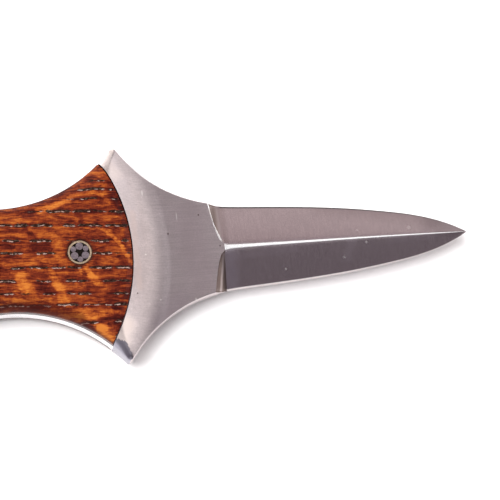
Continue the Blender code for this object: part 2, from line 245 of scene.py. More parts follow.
def distance_to_outline(plan, outline):
    """Shortest distance in plan from each point to the outline, which lies on both sides."""
    points = plan.reshape(-1, 2).copy()
    points[:, 1] = np.abs(points[:, 1])
    start = outline[:-1]
    run = outline[1:] - start
    offset = points[:, None, :] - start[None, :, :]
    share = np.clip((offset * run).sum(axis=2) / (run**2).sum(axis=1), 0.0, 1.0)
    nearest = offset - share[:, :, None] * run
    return np.sqrt((nearest**2).sum(axis=2)).min(axis=1).reshape(plan.shape[:-1])


def edge_break(inset, radius):
    """How far a rounded edge has dropped at this inset from it."""
    short = np.clip(radius - inset, 0.0, radius)
    return radius - np.sqrt(radius**2 - short**2)


def shoulder_height(inset):
    from_flat = 1.0 - np.clip(inset / SHOULDER_WIDTH, 0.0, 1.0)
    return SCALE_SIDE_TOP + (HANDLE_HALF - SCALE_SIDE_TOP) * np.sqrt(1.0 - from_flat**2)


def ramp_and_side(plan):
    """Heights of the bolster's ramp and of its side facet, before the lower one is taken."""
    x = plan[..., 0]
    v = np.abs(plan[..., 1])
    from_seam = np.hypot(x - SEAM_CENTRE[0], v) - SEAM_RADIUS
    slope = (HANDLE_HALF - TANG_HALF) / (RAMP_STRAIGHT + RAMP_RUNOUT / 2.0)
    past = np.clip(from_seam - RAMP_STRAIGHT, 0.0, RAMP_RUNOUT)
    straight = np.clip(from_seam, 0.0, RAMP_STRAIGHT)
    ramp = HANDLE_HALF - slope * (straight + past - past**2 / (2.0 * RAMP_RUNOUT))
    inset = np.clip(np.hypot(x - NECK_CENTRE[0], v - NECK_CENTRE[1]) - NECK_RADIUS, 0.0, None)
    share = np.clip(from_seam / FACET_REACH, 0.0, 1.0)
    facet = LINER_TOP + FACET_SLOPE * inset
    return ramp, (1.0 - share) * shoulder_height(inset) + share * facet


def ridge_height(x):
    along = np.clip((x - PLUNGE_END_X) / (TIP_X - PLUNGE_END_X), 0.0, 1.0)
    return TANG_HALF * (1.0 - THINNING_EVEN * along - THINNING_TIP * along**4)


def bevel_height(x, v):
    """Height of the crowned bevel, which ends in a narrow, steeper cutting bevel."""
    ridge = hermite(np.clip(x, PLUNGE_END_X, None), RIDGE_KNOTS)
    half_width = blade_half_width(np.clip(x, FRONT_END_X, None))
    small = np.clip(half_width / FULL_WIDTH, 0.0, 1.0)
    cutting = CUTTING_WIDTH * small
    shoulder = EDGE_HALF + (CUTTING_SHOULDER - EDGE_HALF) * small
    top = ridge_height(x)
    share = np.clip((np.abs(v) - ridge) / (half_width - cutting - ridge), 0.0, 1.0)
    fall = (1.0 - BEVEL_CROWN) * share + BEVEL_CROWN * share**2
    main = top - fall * (top - shoulder)
    edge = np.clip((half_width - np.abs(v)) / cutting, 0.0, 1.0)
    return np.where(edge < 1.0, EDGE_HALF + (shoulder - EDGE_HALF) * edge, main)


def plunge_depth(v, half_width):
    """How far the plunge's curve reaches back from PLUNGE_END_X at v across."""
    ridge = RIDGE_KNOTS[0][1]
    share = np.clip((np.abs(v) - ridge) / (half_width - ridge), 0.0, 1.0)
    return np.sqrt(2.0 * PLUNGE_RADIUS * share * (TANG_HALF - EDGE_HALF))


def bolster_stations():
    """Plan points from the curved seam to the differently curved plunge line."""
    seam_x = circles_meet(SEAM_CENTRE, SEAM_RADIUS, NECK_CENTRE, NECK_RADIUS)[0]
    tip = guard_tip(TIP_STATIONS)
    neck = edge_points(seam_x, tip[0, 0], NECK_STATIONS + 1, neck_half_width)[:-1]
    plunge_x = PLUNGE_END_X - float(plunge_depth(FULL_WIDTH, FULL_WIDTH))
    front = edge_points(tip[-1, 0], plunge_x, FRONT_STATIONS, front_half_width)[1:]
    edge = np.concatenate([neck, tip, front])
    travel = np.concatenate([[0.0], np.cumsum(np.hypot(*np.diff(edge, axis=0).T))])
    stations = []
    for (x, half_width), share in zip(edge, travel / travel[-1]):
        v = plan_rows(half_width, RIDGE_KNOTS[0][1])
        arc = arc_depth(half_width, SEAM_RADIUS) - arc_depth(v, SEAM_RADIUS)
        plunge = plunge_depth(half_width, half_width) - plunge_depth(v, half_width)
        stations.append(np.column_stack([x + (1.0 - share) * arc + share * plunge, v]))
    return np.array(stations)


def plunge_stations():
    """Plan points and heights of the hollow between the ricasso and the bevels."""
    stations = []
    heights = []
    for share in np.linspace(1.0, 0.0, PLUNGE_STATIONS + 2)[1:-1]:
        reach = share * float(plunge_depth(FULL_WIDTH, FULL_WIDTH))
        half_width = float(blade_half_width(max(FRONT_END_X, PLUNGE_END_X - reach)))
        v = plan_rows(half_width, RIDGE_KNOTS[0][1])
        back = share * plunge_depth(v, half_width)
        foot = bevel_height(np.full_like(v, PLUNGE_END_X), v)
        stations.append(np.column_stack([PLUNGE_END_X - back, v]))
        heights.append(np.minimum(TANG_HALF, foot + back**2 / (2.0 * PLUNGE_RADIUS)))
    return np.array(stations), np.array(heights)


def blade_stations():
    """Plan points and heights of the blade, closer together towards the point."""
    even = np.linspace(PLUNGE_END_X, BLADE_CLOSE_X, 30)
    close = np.linspace(BLADE_CLOSE_X, TIP_X, 36)[1:]
    x = np.concatenate([even, close])
    stations = []
    heights = []
    for along, half_width in zip(x, blade_half_width(x)):
        ridge = min(float(hermite(along, RIDGE_KNOTS)), half_width * 0.5)
        v = plan_rows(half_width, ridge)
        stations.append(np.column_stack([np.full_like(v, along), v]))
        heights.append(bevel_height(np.full_like(v, along), v))
    return np.array(stations), np.array(heights)


def placed(x, y, z):
    """From millimetres along, across and up from the seam's middle to metres in the frame."""
    return (x + SHIFT_X) * MM, y * MM, (z + HANDLE_HALF) * MM


def new_object(name, bm, materials):
    mesh = bpy.data.meshes.new(name)
    bmesh.ops.recalc_face_normals(bm, faces=bm.faces)
    bm.to_mesh(mesh)
    bm.free()
    for material in materials:
        mesh.materials.append(material)
    mesh.shade_smooth()
    mesh.set_sharp_from_angle(angle=math.radians(SMOOTH_ANGLE))
    obj = bpy.data.objects.new(name, mesh)
    bpy.context.scene.collection.objects.link(obj)
    return obj


def loft(name, plan, top, bottom, materials, zone):
    """A closed skin over stations. zone(station, row, flat) picks each face's material.

    flat is 1 on the upper and lower skins, where row counts from the edge with negative y. It is
    0 on the walls along the edges, where only the wall with negative y has a row past ROWS.
    """
    bm = bmesh.new()
    count = plan.shape[1]
    loops = []
    for points, high, low in zip(plan, top, bottom):
        upper = [bm.verts.new(co) for co in zip(*placed(*points.T, high))]
        lower = [bm.verts.new(co) for co in zip(*placed(*points.T, low))]
        loops.append(upper + lower[::-1])
    for station, (first, second) in enumerate(zip(loops[:-1], loops[1:])):
        for index in range(len(first)):
            after = (index + 1) % len(first)
            face = bm.faces.new((first[index], first[after], second[after], second[index]))
            if index < count - 1:
                face.material_index = zone(station, index, 1)
            elif count - 1 < index < 2 * count - 1:
                face.material_index = zone(station, 2 * count - 2 - index, 1)
            else:
                face.material_index = zone(station, index, 0)
    bm.faces.new(loops[0])
    bm.faces.new(loops[-1])
    return new_object(name, bm, materials)


def drill(obj, holes):
    """Cuts round holes, as (x, y, radius, segments), and keeps the result as the piece's mesh."""
    cutters = []
    for x, y, radius, segments in holes:
        bm = bmesh.new()
        bmesh.ops.create_cone(
            bm,
            cap_ends=True,
            segments=segments,
            radius1=radius * MM,
            radius2=radius * MM,
            depth=3.0 * HANDLE_HALF * MM,
        )
        cutter = new_object("cutter", bm, obj.data.materials[:1])
        cutter.location = placed(x, y, 0.0)
        cutters.append(cutter)
        cut = obj.modifiers.new("cut", "BOOLEAN")
        cut.operation = "DIFFERENCE"
        cut.solver = "EXACT"
        cut.object = cutter
    bpy.context.view_layer.update()
    shape = obj.evaluated_get(bpy.context.evaluated_depsgraph_get())
    mesh = bpy.data.meshes.new_from_object(shape)
    obj.modifiers.clear()
    obj.data = mesh
    for cutter in cutters:
        bpy.data.objects.remove(cutter)


def turned(name, x, y, profile, segments, material):
    """A round piece from (radius, height) points, mirrored about the middle of the tang.

    A profile that starts on the axis gives a solid bar, and any other gives a ring.
    """
    bm = bmesh.new()
    solid = profile[0][0] == 0.0
    points = list(profile[1:] if solid else profile)
    points = points + [(radius, -z) for radius, z in reversed(points)]
    rings = []
    for radius, z in points:
        ring = []
        for index in range(segments):
            angle = 2.0 * math.pi * index / segments
            along = (x + SHIFT_X + radius * math.cos(angle)) * MM
            across = (y + radius * math.sin(angle)) * MM
            ring.append(bm.verts.new((along, across, (z + HANDLE_HALF) * MM)))
        rings.append(ring)
    pairs = list(zip(rings[:-1], rings[1:]))
    if not solid:
        pairs.append((rings[-1], rings[0]))
    for first, second in pairs:
        for index in range(segments):
            after = (index + 1) % segments
            bm.faces.new((first[index], first[after], second[after], second[index]))
    if solid:
        for ring, z in ((rings[0], profile[0][1]), (rings[-1], -profile[0][1])):
            centre = bm.verts.new(placed(x, y, z))
            for index in range(segments):
                bm.faces.new((ring[index], ring[(index + 1) % segments], centre))
    return new_object(name, bm, [material])


class Graph:
    """Short calls for building a material's nodes. Values can be numbers or sockets."""

    def __init__(self, name):
        self.material = bpy.data.materials.new(name)
        self.material.use_nodes = True
        self.tree = self.material.node_tree
        self.shader = self.tree.nodes["Principled BSDF"]
        coordinates = self.tree.nodes.new("ShaderNodeTexCoord").outputs["Object"]
        start = (SHIFT_X, 0.0, HANDLE_HALF)
        self.place = self.vector("MULTIPLY_ADD", coordinates, (1.0 / MM,) * 3, [-c for c in start])
        split = self.tree.nodes.new("ShaderNodeSeparateXYZ")
        self.tree.links.new(self.place, split.inputs[0])
        self.x, self.y, self.z = split.outputs

    def put(self, socket, value):
        if isinstance(value, bpy.types.NodeSocket):
            self.tree.links.new(value, socket)
        else:
            socket.default_value = value

    def math(self, operation, *values):
        node = self.tree.nodes.new("ShaderNodeMath")
        node.operation = operation
        for socket, value in zip(node.inputs, values):
            self.put(socket, value)
        return node.outputs[0]

    def vector(self, operation, *values):
        node = self.tree.nodes.new("ShaderNodeVectorMath")
        node.operation = operation
        for socket, value in zip(node.inputs, values):
            self.put(socket, value)
        return node.outputs["Value" if operation in ("LENGTH", "DOT_PRODUCT") else "Vector"]

    def point(self, x, y, z):
        node = self.tree.nodes.new("ShaderNodeCombineXYZ")
        for socket, value in zip(node.inputs, (x, y, z)):
            self.put(socket, value)
        return node.outputs[0]

    def fade(self, value, low, high, start=0.0, end=1.0, kind="SMOOTHSTEP"):
        """Goes from start to end as value goes from low to high."""
        node = self.tree.nodes.new("ShaderNodeMapRange")
        node.interpolation_type = kind
        for socket, number in zip(node.inputs, (value, low, high, start, end)):
            self.put(socket, number)
        return node.outputs[0]

    def noise(self, place, scale, detail=2.0, roughness=0.5, distortion=0.0, colour=False):
        node = self.tree.nodes.new("ShaderNodeTexNoise")
        self.put(node.inputs["Vector"], place)
        self.put(node.inputs["Scale"], scale)
        self.put(node.inputs["Detail"], detail)
        self.put(node.inputs["Roughness"], roughness)
        self.put(node.inputs["Distortion"], distortion)
        return node.outputs["Color" if colour else 0]

    def ramp(self, value, stops):
        """Colour stops as (position, (r, g, b)) or (position, value)."""
        node = self.tree.nodes.new("ShaderNodeValToRGB")
        elements = node.color_ramp.elements
        while len(elements) < len(stops):
            elements.new(0.5)
        for element, (position, colour) in zip(elements, stops):
            element.position = position
            element.color = (*(colour if isinstance(colour, tuple) else (colour,) * 3), 1.0)
        self.put(node.inputs[0], value)
        return node.outputs[0]

    def mix(self, share, first, second):
        node = self.tree.nodes.new("ShaderNodeMix")
        node.data_type = "RGBA"
        self.put(node.inputs[0], share)
        for socket, value in ((node.inputs[6], first), (node.inputs[7], second)):
            self.put(socket, (*value, 1.0) if isinstance(value, tuple) else value)
        return node.outputs[2]

    def stretched(self, place, along, across, upright):
        return self.vector("MULTIPLY", place, (along, across, upright))

    def sway(self, total, value, amount):
        """total plus amount times how far value is from a half."""
        return self.math("MULTIPLY_ADD", self.math("SUBTRACT", value, 0.5), amount, total)

    def wander(self, place, reach, *noise_values):
        """place moved about by a noise, up to half of reach each way."""
        shift = self.vector("SUBTRACT", self.noise(*noise_values, colour=True), (0.5, 0.5, 0.5))
        return self.vector("MULTIPLY_ADD", shift, reach, place)

    def spot(self, place, x, y, length, width, inner):
        """1 in the middle of an ellipse and 0 outside it."""
        reach = (1.0 / length, 1.0 / width, 0.0)
        scaled = self.vector("MULTIPLY_ADD", place, reach, (-x / length, -y / width, 0.0))
        return self.fade(self.vector("LENGTH", scaled), inner, 1.0, 1.0, 0.0)

    def stroke(self, place, start, end, half_width, inner):
        """1 along the middle of a straight stroke and 0 outside it."""
        run = Vector((end[0] - start[0], end[1] - start[1], 0.0))
        offset = self.vector("MULTIPLY_ADD", place, (1.0, 1.0, 0.0), (-start[0], -start[1], 0.0))
        share = self.vector("DOT_PRODUCT", offset, run / run.length_squared)
        clamped = self.math("MINIMUM", self.math("MAXIMUM", share, 0.0), 1.0)
        back = self.vector("MULTIPLY", self.point(clamped, clamped, 0.0), run)
        away = self.vector("LENGTH", self.vector("SUBTRACT", offset, back))
        return self.fade(away, inner * half_width, half_width, 1.0, 0.0)

    def finish(self, colour, roughness, height=None, strength=0.2, distance=0.05, **values):
        self.put(self.shader.inputs["Base Color"], colour)
        self.put(self.shader.inputs["Roughness"], roughness)
        for name, value in values.items():
            self.put(self.shader.inputs[name.replace("_", " ")], value)
        if height is not None:
            bump = self.tree.nodes.new("ShaderNodeBump")
            bump.inputs["Strength"].default_value = strength
            bump.inputs["Distance"].default_value = distance * MM
            self.put(bump.inputs["Height"], height)
            self.tree.links.new(bump.outputs[0], self.shader.inputs["Normal"])
        return self.material


# The grain falls a little towards the blade. In front of PLACED_FROM the pores and patches are
# placed one by one, and behind it they come from noise.
GRAIN_FALL = 0.068
GRAIN_LEVEL_X = -10.0
PLACED_FROM = (-38.0, -35.5)
PORES_START = -37.0
PORES_END = 1.0
RIM_RADIUS = 4.1

# A pore tapers off from inside to outside its end by these distances
PORE_TAPER = (0.5, 0.35)

# Pore rows of the oak, as (distance across the grain, ((start, end, half thickness) of each pore))
PORE_ROWS = (
    (19.2, ((-10.2, -5.8, 0.25),)),
    (16.9, ((-13.0, -6.2, 0.42), (-5.0, -3.6, 0.3))),
    (14.3, ((-16.5, -13.6, 0.14), (-12.6, -8.2, 0.34), (-4.6, -2.6, 0.3))),
    (10.9, ((-27.0, -22.6, 0.2), (-22.0, -15.6, 0.5), (-15.0, -10.2, 0.45), (-9.6, -6.0, 0.26),
            (-5.4, -1.6, 0.42))),
    (7.05, ((-34.5, -31.0, 0.4), (-30.4, -27.0, 0.55), (-26.0, -20.4, 0.5), (-17.8, -14.6, 0.5),
            (-13.8, -7.4, 0.4), (-6.8, -0.6, 0.42))),
    (2.9, ((-33.8, -29.4, 0.42), (-26.8, -21.0, 0.45), (-17.4, -15.0, 0.2), (-10.8, -5.8, 0.42),
           (-2.8, -1.0, 0.5))),
    (-0.5, ((-35.0, -29.0, 0.42), (-25.4, -20.2, 0.4), (-10.6, -5.6, 0.42), (-5.0, -3.2, 0.2),
            (-1.6, -0.6, 0.3))),
    (-4.4, ((-32.4, -28.6, 0.4), (-27.6, -22.4, 0.36), (-21.6, -18.0, 0.32), (-17.6, -13.8, 0.4),
            (-11.6, -5.8, 0.42), (-5.0, -1.2, 0.42))),
    (-8.0, ((-36.0, -31.4, 0.5), (-26.0, -21.8, 0.26), (-18.2, -15.6, 0.5), (-15.0, -12.8, 0.4),
            (-8.4, -5.0, 0.42), (-4.4, -1.2, 0.4))),
    (-11.4, ((-36.0, -32.0, 0.3), (-30.2, -27.8, 0.2), (-24.4, -21.4, 0.26), (-18.2, -15.8, 0.26),
             (-15.6, -12.0, 0.42), (-6.0, -2.4, 0.4))),
    (-14.3, ((-36.0, -29.6, 0.4), (-29.0, -22.6, 0.24), (-21.4, -15.4, 0.34), (-14.6, -6.6, 0.2),
             (-6.4, -2.6, 0.45))),
    (-18.8, ((-15.2, -10.8, 0.4), (-6.2, -3.8, 0.4))),
    (-22.4, ((-12.0, -9.8, 0.3), (-6.6, -5.4, 0.3))),
)

# Orange and dark patches of the oak, as strokes of (start, end, half width, warmth)
PATCHES = (
    ((-24.0, 12.0), (-15.6, 14.2), 1.0, 0.34),
    ((-21.5, 12.8), (-17.0, 13.6), 0.6, 0.2),
    ((-15.6, 15.2), (-9.4, 16.0), 0.8, 0.26),
    ((-9.4, 16.0), (-6.6, 14.8), 0.7, 0.26),
    ((-6.6, 14.8), (-5.0, 12.8), 0.6, 0.22),
    ((-9.5, 21.8), (-5.6, 20.2), 0.8, 0.12),
    ((-11.5, 18.6), (-5.5, 18.0), 0.6, 0.2),
    ((-18.0, 10.4), (-14.2, 8.8), 0.7, 0.2),
    ((-20.0, 3.6), (-19.4, -0.2), 1.7, 0.26),
    ((-24.0, 5.3), (-15.0, 5.2), 0.9, 0.16),
    ((-35.0, 6.2), (-28.0, 5.8), 0.8, 0.16),
    ((-8.7, 6.4), (-6.0, 5.0), 0.65, 0.3),
    ((-6.0, 5.0), (-4.3, 3.0), 0.7, 0.32),
    ((-4.3, 3.0), (-2.8, 0.6), 0.75, 0.32),
    ((-2.8, 0.6), (-1.6, -1.8), 0.7, 0.32),
    ((-1.6, -1.8), (-1.3, -3.6), 0.6, 0.24),
    ((-29.8, -5.6), (-29.4, -9.4), 1.7, 0.4),
    ((-28.4, -8.0), (-27.8, -10.0), 1.3, 0.2),
    ((-22.2, -4.8), (-20.4, -8.2), 1.2, 0.3),
    ((-20.4, -8.2), (-19.0, -13.2), 1.4, 0.34),
    ((-32.0, -11.6), (-23.0, -12.2), 0.8, 0.24),
    ((-16.0, -8.9), (-12.0, -9.3), 0.7, 0.14),
    ((-12.8, -3.8), (-11.6, -6.4), 1.0, 0.34),
    ((-11.6, -6.4), (-9.9, -8.6), 1.2, 0.42),
    ((-14.6, -3.9), (-14.2, -6.0), 0.4, 0.3),
    ((-20.0, -15.6), (-12.0, -16.8), 1.4, 0.24),
    ((-15.0, -17.0), (-9.8, -17.0), 1.6, 0.24),
    ((-11.6, -19.8), (-9.6, -21.0), 1.3, 0.3),
    ((-9.8, -20.6), (-7.4, -25.4), 1.7, 0.4),
    ((-8.4, -23.0), (-7.0, -26.4), 1.2, 0.14),
    ((-36.0, 10.8), (-29.0, 11.4), 0.8, 0.16),
    ((-31.0, 9.6), (-25.0, 9.8), 0.9, 0.12),
    ((-34.0, -1.6), (-26.0, -1.7), 0.9, 0.16),
    ((-23.5, -1.4), (-18.0, -2.2), 0.7, 0.18),
    ((-6.5, -2.4), (-4.5, -3.0), 0.8, 0.2),
    ((-6.6, 8.6), (-2.6, 8.9), 0.8, 0.14),
    ((-4.6, 17.4), (-2.2, 12.4), 1.9, -0.22),
    ((-1.9, 10.6), (-1.0, 3.4), 1.3, -0.2),
    ((-18.4, 9.4), (-15.8, 9.0), 1.0, -0.16),
    ((-13.6, 10.4), (-13.2, 8.6), 1.0, -0.14),
    ((-27.6, 7.0), (-25.8, 4.6), 1.0, -0.18),
    ((-35.6, 2.8), (-32.0, 2.6), 1.3, -0.14),
    ((-25.6, 1.8), (-22.8, 2.2), 1.4, -0.14),
    ((-16.6, -0.6), (-16.2, 2.2), 1.2, -0.2),
    ((-36.0, -3.2), (-33.4, -4.6), 1.2, -0.18),
    ((-26.6, -5.2), (-23.6, -5.6), 1.0, -0.16),
    ((-26.0, -8.2), (-23.6, -9.4), 1.4, -0.2),
    ((-16.8, -5.6), (-15.4, -7.2), 1.1, -0.16),
    ((-13.0, -7.8), (-12.8, -9.6), 0.9, -0.12),
    ((-3.4, -8.6), (-1.6, -12.0), 1.8, -0.16),
    ((-5.4, -16.0), (-4.2, -22.0), 2.0, -0.3),
    ((-5.0, -10.0), (-7.6, -13.2), 1.3, -0.14),
    ((-30.0, -13.4), (-18.0, -15.2), 0.9, -0.18),
    ((-17.4, -18.6), (-12.2, -20.6), 1.1, -0.3),
)

# Colour stops of the oak, from dark to warm, and of the filling in its pores
OAK_COLOURS = (
    (0.10, (0.026, 0.0045, 0.004)),
    (0.30, (0.064, 0.0090, 0.0055)),
    (0.46, (0.128, 0.021, 0.008)),
    (0.60, (0.210, 0.043, 0.010)),
    (0.78, (0.305, 0.078, 0.014)),
    (1.00, (0.405, 0.128, 0.022)),
)
FILLING_COLOURS = (
    (0.42, (0.010, 0.004, 0.003)),
    (0.56, (0.022, 0.013, 0.010)),
    (0.70, (0.075, 0.060, 0.046)),
)


def wood(name, shift_x):
    """Dyed and stabilised oak: streaks, patches, ray flecks and rows of open pores.

    shift_x slides the figure along the handle, so the two scales differ.
    """
    graph = Graph(name)
    moved = graph.vector("ADD", graph.place, (shift_x, 0.0, 0.0))
    fall = graph.math("MULTIPLY_ADD", graph.x, GRAIN_FALL, (shift_x - GRAIN_LEVEL_X) * GRAIN_FALL)
    level = graph.math("ADD", graph.y, fall)
    along = graph.math("ADD", graph.x, shift_x)
    grain = graph.point(along, level, graph.z)
    behind = graph.fade(along, *PLACED_FROM, 1.0, 0.0)

    warped = graph.wander(moved, (2.4, 1.1, 0.0), moved, 0.4, 2.0, 0.45)
    feather = graph.stretched(moved, 0.9, 3.0, 1.0)
    warped = graph.wander(warped, (0.8, 0.25, 0.0), feather, 1.0, 3.0, 0.6)
    streaks = graph.noise(graph.stretched(grain, 0.17, 1.25, 0.25), 1.0, 4.0, 0.62, 0.9)
    fine = graph.noise(graph.stretched(grain, 0.75, 6.0, 0.8), 1.0, 3.0, 0.62, 0.5)
    flecks = graph.noise(graph.stretched(moved, 4.6, 0.8, 0.5), 1.0, 2.0, 0.55)
    warmth = graph.math("MULTIPLY_ADD", streaks, 1.35, -0.20)
    warmth = graph.sway(warmth, fine, 0.62)
    warmth = graph.sway(warmth, flecks, 0.26)
    mottle = graph.noise(graph.stretched(moved, 0.26, 0.5, 0.2), 1.0, 3.0, 0.6, 0.8)
    warmth = graph.sway(warmth, mottle, 0.75)
    patches = 0.0
    for start, end, width, strength in PATCHES:
        stroke = graph.stroke(warped, start, end, width * 1.15, 0.42)
        patches = graph.math("MULTIPLY_ADD", stroke, strength, patches)
    patches = graph.math("MULTIPLY", patches, graph.fade(fine, 0.3, 0.66, 0.48, 0.98))
    warmth = graph.math("ADD", warmth, patches)
    blotches = graph.noise(graph.stretched(grain, 0.10, 0.30, 0.1), 1.0, 2.0, 0.5, 0.6)
    blotches = graph.math("MULTIPLY", graph.math("SUBTRACT", blotches, 0.47), 1.1)
    warmth = graph.math("MULTIPLY_ADD", blotches, behind, warmth)

    wobble = graph.noise(graph.stretched(moved, 0.3, 0.05, 0.0), 1.0, 1.0, 0.5)
    ragged = graph.noise(graph.stretched(moved, 1.5, 3.4, 1.0), 1.0, 3.0, 0.75)
    line_y = graph.math("MULTIPLY_ADD", wobble, 0.9, graph.math("SUBTRACT", level, 0.45))
    line_y = graph.math("MULTIPLY_ADD", ragged, 0.9, graph.math("SUBTRACT", line_y, 0.45))
    pores = 0.0
    painted_glints = 0.0
    haze = 0.0
    for row, dashes in PORE_ROWS:
        stops = []
        for start, end, half in dashes:
            inner, outer = PORE_TAPER
            places = (start - outer, start + inner, end - inner, end + outer)
            shares = [(place - PORES_START) / (PORES_END - PORES_START) for place in places]
            stops += zip(shares, (0.0, half, half, 0.0))
        stops = [(position, value) for position, value in stops if position > 0.0]
        thickness = graph.ramp(graph.fade(along, PORES_START, PORES_END, kind="LINEAR"), stops)
        away = graph.math("SUBTRACT", line_y, row)
        deep = graph.math("SUBTRACT", thickness, graph.math("ABSOLUTE", away))
        pores = graph.math("MAXIMUM", pores, graph.fade(deep, -0.06, 0.16))
        haze = graph.math("MAXIMUM", haze, graph.fade(deep, -1.1, 0.0))
        # Painted highlight: a thin pale line just beside each pore, standing in for glints of the gloss
        low = graph.math("ABSOLUTE", graph.math("ADD", away, 0.16))
        edge = graph.math("MULTIPLY", graph.fade(low, 0.04, 0.16, 1.0, 0.0), graph.fade(deep, -0.1, 0.1))
        painted_glints = graph.math("MAXIMUM", painted_glints, edge)

    # Behind the neck the rows go on evenly, broken into pores by a long noise
    cell = graph.math("PINGPONG", graph.math("ADD", line_y, 0.5), 1.85)
    broken = graph.noise(graph.stretched(grain, 0.22, 0.3, 0.1), 1.0, 1.0, 0.5)
    deep = graph.math("SUBTRACT", graph.fade(broken, 0.46, 0.6, -0.1, 0.46), cell)
    pores = graph.math("MAXIMUM", pores, graph.math("MULTIPLY", graph.fade(deep, -0.05, 0.12), behind))
    haze = graph.math("MAXIMUM", haze, graph.math("MULTIPLY", graph.fade(deep, -1.1, 0.0), behind))

    warmth = graph.math("MULTIPLY_ADD", haze, -0.09, warmth)
    colour = graph.ramp(warmth, OAK_COLOURS)

    filler = graph.noise(graph.stretched(moved, 1.3, 3.6, 1.0), 1.0, 2.0, 0.65)
    filling = graph.ramp(filler, FILLING_COLOURS)
    colour = graph.mix(graph.math("MULTIPLY", pores, 0.96), colour, filling)
    # Painted highlight: the pale glints, broken up by a noise, are mixed into the colour
    sparkle = graph.noise(graph.stretched(moved, 0.7, 0.9, 0.5), 1.0, 1.0, 0.5)
    painted_glints = graph.math("MULTIPLY", painted_glints, graph.fade(sparkle, 0.47, 0.58))
    colour = graph.mix(graph.math("MULTIPLY", painted_glints, 0.75), colour, (0.42, 0.29, 0.25))

    # The finish has darkened round the rims of the pins, and painted shade darkens the wood down the
    # rounded shoulder
    for pin_x in (FRONT_PIN_X, REAR_PIN_X):
        spot = graph.spot(graph.place, pin_x, 0.0, RIM_RADIUS, RIM_RADIUS, 0.79)
        colour = graph.mix(graph.math("MULTIPLY", spot, 0.72), colour, (0.020, 0.008, 0.005))
    # Painted shade: darker where the shoulder falls away, most along the edge with negative y, fading
    # out near the bolster
    height_left = graph.math("ABSOLUTE", graph.z)
    wear_and_shade = graph.sway(height_left, streaks, 1.2)
    wear_and_shade = graph.math("MULTIPLY_ADD", graph.fade(graph.y, -0.5, 0.5), 1.5, wear_and_shade)
    wear_and_shade = graph.math("MULTIPLY_ADD", graph.fade(along, -15.0, -10.5), 1.8, wear_and_shade)
    shoulder_shade = graph.fade(wear_and_shade, 6.4, 7.6, 0.68, 0.0)
    colour = graph.mix(shoulder_shade, colour, (0.040, 0.0062, 0.004))

    height = graph.math("MULTIPLY_ADD", pores, -0.8, graph.math("MULTIPLY", fine, 0.12))
    roughness = graph.math("MULTIPLY_ADD", pores, 0.25, 0.22)
    polish = graph.fade(height_left, 3.6, 5.0, 0.9, 0.15)
    return graph.finish(
        colour,
        roughness,
        height,
        strength=0.35,
        distance=0.12,
        Coat_Weight=polish,
        Coat_Roughness=0.1,
        Specular_IOR_Level=0.0,
    )


def steel(
    name, colour, roughness, lines, line_depth, grain_depth,
    spread=0.06, marks=(), painted_reflections=(), contrast=0.14, warp=1.2
):
    """Steel with fine polishing lines.

    lines is how stretched their noise is along, across and upright. line_depth and grain_depth
    are their shares of the bump. spread is how far roughness varies, and contrast how far colour
    does. marks are pits and scratches. The strokes after them are painted reflections: patches
    lighter or darker than the steel, standing in for reflected light and shade. warp is how far
    the patches' borders wander.
    """
    graph = Graph(name)
    line = graph.noise(graph.stretched(graph.place, *lines), 1.0, 3.0, 0.7)
    grain = graph.noise(graph.place, 2.2, 3.0, 0.75)
    cloud = graph.noise(graph.place, 0.22, 3.0, 0.55, 0.6)
    tone = graph.math("MULTIPLY_ADD", line, 0.5, graph.math("MULTIPLY", grain, 0.5))
    light = tuple(min(1.0, c * (1.0 + contrast)) for c in colour)
    deep = tuple(c * (1.0 - contrast) for c in colour)
    shade = graph.ramp(tone, [(0.32, deep), (0.68, light)])
    shade = graph.mix(graph.fade(cloud, 0.35, 0.7, 0.0, 0.35), shade, deep)
    rough = graph.math("MULTIPLY_ADD", cloud, spread, roughness - 0.5 * spread)
    rough = graph.math("MULTIPLY_ADD", line, spread, graph.math("SUBTRACT", rough, 0.5 * spread))
    height = graph.math("MULTIPLY_ADD", line, line_depth, graph.math("MULTIPLY", grain, grain_depth))
    uneven = graph.wander(graph.place, (warp, warp, 0.0), graph.place, 0.5, 2.0, 0.5)
    # Painted reflections: strokes that make the steel lighter or darker where it would reflect light or
    # shade
    for start, end, half_width, share, reflected_colour in painted_reflections:
        stroke = graph.stroke(uneven, start, end, half_width, 0.1)
        shade = graph.mix(graph.math("MULTIPLY", stroke, share), shade, reflected_colour)
    for x, y, length, width, change, mark_colour in marks:
        spot = graph.spot(graph.place, x, y, length, width, 0.3)
        shade = graph.mix(graph.math("MULTIPLY", spot, 0.9), shade, mark_colour)
        height = graph.math("MULTIPLY_ADD", spot, change, height)
        rough = graph.math("MULTIPLY_ADD", spot, 0.2, rough)
    return graph.finish(shade, rough, height, strength=0.5, distance=0.02, Metallic=1.0)


PALE = (0.95, 0.92, 0.92)
PIT = (0.12, 0.08, 0.08)

# Pits and scratches, as (x, y, half length, half width, change in height, colour)
BOLSTER_MARKS = (
    (12.9, 9.2, 0.22, 1.6, 0.8, PALE),
    (10.2, 4.6, 0.3, 0.45, -1.5, PIT),
    (23.8, 0.35, 0.35, 0.3, -1.5, PIT),
    (0.3, -11.8, 0.3, 0.3, -1.5, PIT),
    (18.8, 9.2, 0.3, 0.35, -1.0, PIT),
    (4.2, 16.0, 0.25, 1.1, 0.8, PALE),
    (3.5, -1.2, 0.4, 0.3, 0.8, PALE),
    (6.6, -13.2, 0.4, 0.3, 0.8, PALE),
    (16.0, -13.6, 0.3, 0.5, 0.8, PALE),
)
BLADE_MARKS = (
    (41.0, -7.0, 0.32, 0.42, 1.0, PALE),
    (57.2, -4.9, 0.36, 0.36, 1.0, PALE),
    (63.5, -1.3, 0.4, 0.5, 1.0, PALE),
    (61.3, 2.2, 0.4, 0.4, 0.6, (0.8, 0.7, 0.72)),
    (75.6, 2.0, 0.7, 0.7, 0.4, (0.75, 0.66, 0.68)),
)
